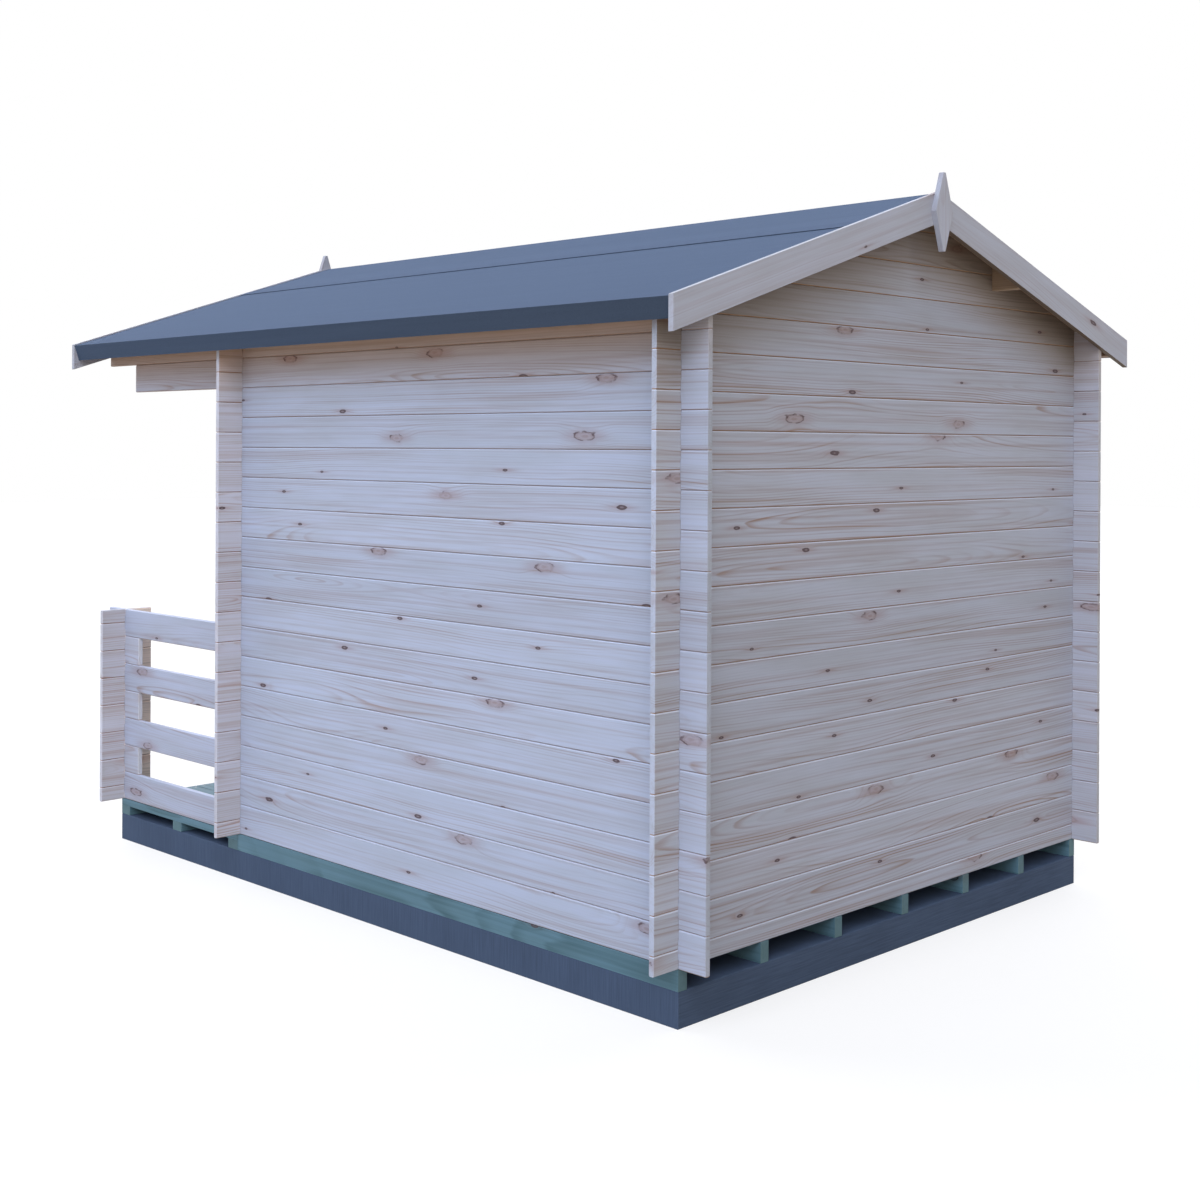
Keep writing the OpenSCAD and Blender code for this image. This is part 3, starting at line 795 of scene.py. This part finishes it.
class CABIN_OT_roof_boards(bpy.types.Operator):
    """Lays tongued boards from the ridge to the eaves in place of the plain slabs"""
    bl_idname = "cabin.roof_boards"
    bl_label = "Roof boards"

    def execute(self, context):
        colours, sizes = context.scene.cabin_colours, context.scene.cabin_sizes
        # Painted shade: the roof boards take the shaded brown of the roof's underside.
        material = softwood("Planed spruce roof boards", in_board, spruce(), sizes.roof_board,
                            (shade_under_roof(1.0), colours.soffit_shade))
        apex = Vector((0, 0, APEX))
        for name, side in SIDES:
            node = name + "_roof_boards"
            low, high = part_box(node)
            corners = [v.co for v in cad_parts[node].data.vertices]
            down, up = roof_axes(side)
            ridge_gap = min(abs(c.x) for c in corners)
            run = max((c - apex).dot(down) for c in corners) - ridge_gap
            thick = max((c - apex).dot(up) for c in corners)
            length = high.y - low.y
            boarding(name + "_soffit_boards", material, "plain_boards", node,
                     apex + low.y * Y + ridge_gap * down, run * down, length * Y, thick * up,
                     round(length / sizes.roof_board), 501.0 + 60 * side, sizes.v_joint, skew=-SLOPE)
        return {"FINISHED"}


class CABIN_OT_floor_boards(bpy.types.Operator):
    """Lays tongued boards in the room"""
    bl_idname = "cabin.floor_boards"
    bl_label = "Floor boards"

    def execute(self, context):
        sizes = context.scene.cabin_sizes
        material = softwood("Planed spruce floor boards", in_board, spruce(), sizes.floor_board)
        low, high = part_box("floor")
        room = high - low
        boarding("floor_boards", material, "plain_boards", "floor", Vector((low.x, low.y, high.z)),
                 room.x * X, room.y * Y, -room.z * Z, round(room.y / sizes.floor_board), 601.0, 1 * MM)
        return {"FINISHED"}


def door_boards(sizes):
    """How many boards the door has."""
    low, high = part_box("door")
    return math.ceil((high.x - low.x) / sizes.door_board)


class CABIN_OT_door(bpy.types.Operator):
    """Builds the boarded door, its ledges and its frame"""
    bl_idname = "cabin.door"
    bl_label = "Door"

    def execute(self, context):
        sizes = context.scene.cabin_sizes
        material = softwood("Planed spruce door boards", in_board, spruce(), sizes.door_board)
        low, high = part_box("door")
        leaf = high - low
        boarding("door_leaf", material, "pale_logs", "door", low, leaf.z * Z, leaf.x * X, leaf.y * Y,
                 door_boards(sizes), 641.0, sizes.v_joint, both=True)
        # Along, across and through the timbers, the seed, the rows they lie in, their width and their arris
        for node, along, across, depth, seed, rows, width, arris in (
                ("door_ledges", X, Z, Y, 671.0, (Z, 0.4), 0.09, 3),
                ("door_sill", X, Y, Z, 683.0, None, 0.06, 1),
                ("door_frame", Z, X, Y, 691.0, (X, 0.3), 0.06, 1)):
            place = in_frame(along, across, depth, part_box(node)[0], seed, rows)
            dress_spruce(node, place, width, arris=arris)
        return {"FINISHED"}


def turned(mesh, at, out, profile, sides=24):
    """Adds a body turned along out. Its rings are (radius, height, waist), and waist draws in six lobes."""
    lobes = 6
    turn = out.to_track_quat("Z", "Y")
    rings = []
    for radius, height, waist in profile:
        ring = []
        for i in range(sides):
            angle = math.tau * i / sides
            reach = radius * (1 - waist * math.sin(lobes * angle / 2) ** 2)
            spot = Vector((reach * math.cos(angle), reach * math.sin(angle), height))
            ring.append(mesh.verts.new(at + turn @ spot))
        rings.append(ring)
    skin(mesh, rings)


def screw(mesh, at, out, head):
    """Adds a raised countersunk head of the given width, with a six-lobed drive cut in it."""
    # Radius as a share of the head's own, height in millimetres, and how far the lobes are drawn in
    profile = ((0.8, -1, 0), (1, -0.1, 0), (1, 0.15, 0), (0.86, 0.45, 0), (0.55, 0.6, 0), (0.5, 0.6, 0.28),
               (0.46, 0.1, 0.28))
    turned(mesh, at, out, [(share * head / 2, height * MM, waist) for share, height, waist in profile])


def plate(mesh, outline, back, out):
    """Adds a flat plate: its outline lies on the back, its face is pushed along out, with a small chamfer."""
    middle = sum(outline, Vector()) / len(outline)
    edge = 0.6 * MM
    rings = []
    for height, inset in ((0, 0), (out.length - edge, 0), (out.length, edge)):
        level = back + out.normalized() * height
        ring = [level + point + (middle - point).normalized() * inset for point in outline]
        rings.append([mesh.verts.new(spot) for spot in ring])
    skin(mesh, rings)


class CABIN_OT_screws(bpy.types.Operator):
    """Screws down the porch boards, and the door boards to their ledges"""
    bl_idname = "cabin.screws"
    bl_label = "Screws"

    def execute(self, context):
        sizes = context.scene.cabin_sizes
        mesh = bmesh.new()
        # Two screws hold each porch board on each of three bearers, up to 2 mm off across and 3 mm along,
        # and their line is 14 mm or more from the end of the boards.
        luck = random.Random(5)
        first, width, pitch = row_of("porch_deck", X)
        bearer, bearer_width, bearer_pitch = row_of("porch_bearers", Y)
        low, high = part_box("porch_deck")
        last_y = high.y - 14 * MM
        for i in range(round((high.x - low.x) / pitch)):
            for n in range(3):
                y = min(bearer + bearer_width / 2 + n * bearer_pitch, last_y)
                for share in (0.17, 0.83):
                    x = first + i * pitch + share * width + luck.uniform(-2, 2) * MM
                    spot = Vector((x, y + luck.uniform(-3, 3) * MM, high.z))
                    screw(mesh, spot, Z, sizes.deck_screw)
        # One screw holds each door board to each ledge, in turn low and high on it.
        low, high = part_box("door_ledges")
        count = door_boards(sizes)
        first, height, pitch = row_of("door_ledges", Z)
        for n in range(3):
            for i in range(count):
                x = low.x + (i + 0.5) * (high.x - low.x) / count
                rise = (0.3, 0.7)[i % 2] * height
                screw(mesh, Vector((x, high.y, first + n * pitch + rise)), Y, sizes.door_screw)
        finish_metal(mesh, "screws", zinc_plate())
        return {"FINISHED"}


class CABIN_OT_hinges(bpy.types.Operator):
    """Builds the tee hinges: a tapered strap, a barrel and a flange, with their screws"""
    bl_idname = "cabin.hinges"
    bl_label = "Tee hinges"

    def execute(self, context):
        low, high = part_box("door_hinges")
        # Thickness, width of the flange, and half of its height
        thick, flange, half = 3 * MM, 30 * MM, 50 * MM
        # Half the strap's width at its tip and root, radius of the flange's corners and the barrel, and gap
        tip, root, corner, barrel, gap = 9 * MM, 16 * MM, 5 * MM, 3 * MM, 0.4 * MM
        strap = high.x - flange - low.x
        out = -thick * Y
        strap_outline = [Vector((tip - strap - tip * math.sin(a), 0, tip * math.cos(a)))
                         for a in (math.pi * i / 12 for i in range(13))]
        strap_outline += [Vector((-3 * MM, 0, -root)), Vector((-3 * MM, 0, root))]
        flange_outline = [Vector((2 * MM, 0, half)), Vector((2 * MM, 0, -half))]
        for centre_z, start in ((corner - half, -math.pi / 2), (half - corner, 0)):
            centre = Vector((flange - corner, 0, centre_z))
            for i in range(6):
                angle = start + math.pi / 10 * i
                flange_outline.append(centre + corner * Vector((math.cos(angle), 0, math.sin(angle))))
        # Places of the screws as shares of the strap's length, and of the flange's width and half height
        spots = [Vector((-share * strap, 0, 0)) for share in (0.12, 0.36, 0.6, 0.84)]
        spots += [Vector((x * flange, 0, z * half)) for x, z in ((0.42, 0.74), (0.62, 0), (0.42, -0.74))]
        mesh = bmesh.new()
        for z in (low.z + half, high.z - half):
            at = Vector((high.x - flange, high.y, z))
            plate(mesh, strap_outline, at, out)
            plate(mesh, flange_outline, at, out)
            for start, end in ((-half, -root), (-root, root), (root, half)):
                top = end - start - 2 * gap
                profile = ((barrel - gap, 0), (barrel, gap), (barrel, top - gap), (barrel - gap, top))
                turned(mesh, at + out + (start + gap) * Z, Z, [(r, h, 0) for r, h in profile], 20)
            for spot in spots:
                screw(mesh, at + out + spot, -Y, context.scene.cabin_sizes.door_screw)
        finish_metal(mesh, "tee_hinges", coated_steel(), "door_hinges")
        return {"FINISHED"}


class CABIN_OT_knob(bpy.types.Operator):
    """Turns the door knob and its backplate"""
    bl_idname = "cabin.knob"
    bl_label = "Knob"

    def execute(self, context):
        low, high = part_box("door_knob")
        middle = (low + high) / 2
        # Radius and distance from the door of the backplate, the stem and the ball, in millimetres
        profile = [
            (24.6, 0), (25, 0.5), (25, 1.8), (24.2, 2.7), (22, 3.2), (12, 4.2), (10.4, 5.4), (9.2, 8),
            (8.6, 14), (8.8, 20), (10, 25), (13, 29), (17.6, 32.4), (21.4, 36), (23.6, 40), (24, 43.4),
            (23, 46.6), (20.4, 49), (16, 50.4), (9, 51), (3, 51)]
        mesh = bmesh.new()
        turned(mesh, Vector((middle.x, high.y, middle.z)), -Y, [(r * MM, h * MM, 0) for r, h in profile], 48)
        finish_metal(mesh, "turned_knob", coated_steel(), "door_knob")
        return {"FINISHED"}


def seen_directly(tree):
    """1 for rays from the camera, a mirror or glass, 0 for light on the object."""
    path = add(tree, "LightPath").outputs
    seen = add(tree, "Math.MAXIMUM", (path["Is Camera Ray"], path["Is Glossy Ray"]))
    return add(tree, "Math.MAXIMUM", (seen, path["Is Transmission Ray"]))


class CABIN_OT_studio(bpy.types.Operator):
    """Sets the plain studio: floor, world, lamps and camera"""
    bl_idname = "cabin.studio"
    bl_label = "Studio"

    def execute(self, context):
        scene = context.scene
        scene.view_settings.view_transform = "Standard"
        self.floor(scene)
        self.world(scene)
        # Name, azimuth from +X towards +Y, height and width in degrees, level on a face turned to it, colour
        lamps = (
            ("key lamp", 30, 45, 50, 0.82, "#eaf0ff"),
            ("rear lamp", 60, 15, 50, 0.32, "#fff4e2"),
            ("side lamp", -15, 15, 50, 0.26, "#d8eaff"),
            ("front lamp", -90, 35, 60, 0.80, "#fafbff"),
            ("left lamp", 190, 35, 60, 0.70, "#fafbff"),
        )
        for name, azimuth, height, width, level, colour in lamps:
            lamp = bpy.data.lights.new(name, "SUN")
            lamp.energy = level * math.pi
            lamp.color = linear(colour)
            lamp.angle = math.radians(width)
            stand = bpy.data.objects.new(name, lamp)
            stand.rotation_euler = (0, math.radians(90 - height), math.radians(azimuth))
            scene.collection.objects.link(stand)
        self.camera(scene)
        return {"FINISHED"}

    def floor(self, scene):
        """Pale floor that is white to the camera and keeps the cabin's shadow."""
        half = 40.0
        corners = [(-half, -half, 0), (half, -half, 0), (half, half, 0), (-half, half, 0)]
        mesh = bpy.data.meshes.new("studio_floor")
        mesh.from_pydata(corners, [], [(0, 1, 2, 3)])
        floor = bpy.data.objects.new("studio_floor", mesh)
        scene.collection.objects.link(floor)
        material, tree = new_material("Studio floor")
        seen = seen_directly(tree)
        # It lights the cabin as pale stone would, and to the camera it glows as well.
        stone, grey = (rgba(linear(colour)) for colour in ("#c3baad", "#959595"))
        shade = add(tree, "Mix", {0: seen, 6: stone, 7: grey}, data_type="RGBA")
        matt = add(tree, "BsdfDiffuse", {"Color": shade})
        strength = add(tree, "Math.MULTIPLY", (seen, 0.68))
        glow = add(tree, "Emission", {"Color": WHITE, "Strength": strength})
        add(tree, "OutputMaterial", {"Surface": add(tree, "AddShader", (matt, glow))})
        mesh.materials.append(material)

    def world(self, scene):
        """World that is white to the camera and gives a little warm light from all round."""
        world = bpy.data.worlds.new("Studio")
        world.use_nodes = True
        tree = world.node_tree
        tree.nodes.clear()
        soft = add(tree, "Background", {"Color": rgba(linear("#fff2e4")), "Strength": 0.04})
        white = add(tree, "Background", {"Color": WHITE, "Strength": 1.0})
        both = add(tree, "MixShader", (seen_directly(tree), soft, white))
        add(tree, "OutputWorld", {"Surface": both})
        scene.world = world

    def camera(self, scene):
        """Camera at eye height, level, off the rear right corner."""
        heading, roll = math.radians(134.9413), math.radians(0.2712)
        lens = bpy.data.cameras.new("camera")
        lens.sensor_width = 36
        lens.lens = 48.888
        lens.shift_y = -0.1272
        camera = bpy.data.objects.new("camera", lens)
        turn = Matrix.Rotation(heading, 4, "Z") @ Matrix.Rotation(math.pi / 2, 4, "X")
        camera.matrix_world = (
            Matrix.Translation((4.62065, 4.75038, 1.67575)) @ turn @ Matrix.Rotation(roll, 4, "Z"))
        scene.collection.objects.link(camera)
        scene.camera = camera


OPERATORS = (
    CABIN_OT_logs, CABIN_OT_trim, CABIN_OT_base, CABIN_OT_felt, CABIN_OT_roof_boards, CABIN_OT_floor_boards,
    CABIN_OT_door, CABIN_OT_screws, CABIN_OT_hinges, CABIN_OT_knob, CABIN_OT_studio)


class CABIN_PT_panel(bpy.types.Panel):
    """Lists the cabin's pieces, sizes and colours"""
    bl_idname = "CABIN_PT_panel"
    bl_label = "Log Cabin"
    bl_space_type = "VIEW_3D"
    bl_region_type = "UI"
    bl_category = "Log Cabin"

    def draw(self, context):
        for group in (context.scene.cabin_sizes, context.scene.cabin_colours):
            for name in group.bl_rna.properties.keys():
                if name not in ("rna_type", "name"):
                    self.layout.prop(group, name)
        for operator in OPERATORS:
            self.layout.operator(operator.bl_idname)


CLASSES = (CabinSizes, CabinColours) + OPERATORS + (CABIN_PT_panel,)


def register():
    for cls in CLASSES:
        bpy.utils.register_class(cls)
    bpy.types.Scene.cabin_sizes = bpy.props.PointerProperty(type=CabinSizes)
    bpy.types.Scene.cabin_colours = bpy.props.PointerProperty(type=CabinColours)


def unregister():
    del bpy.types.Scene.cabin_colours
    del bpy.types.Scene.cabin_sizes
    for cls in reversed(CLASSES):
        bpy.utils.unregister_class(cls)


def main():
    register()
    for operator in OPERATORS:
        group, name = operator.bl_idname.split(".")
        getattr(getattr(bpy.ops, group), name)()


if __name__ == "__main__":
    main()
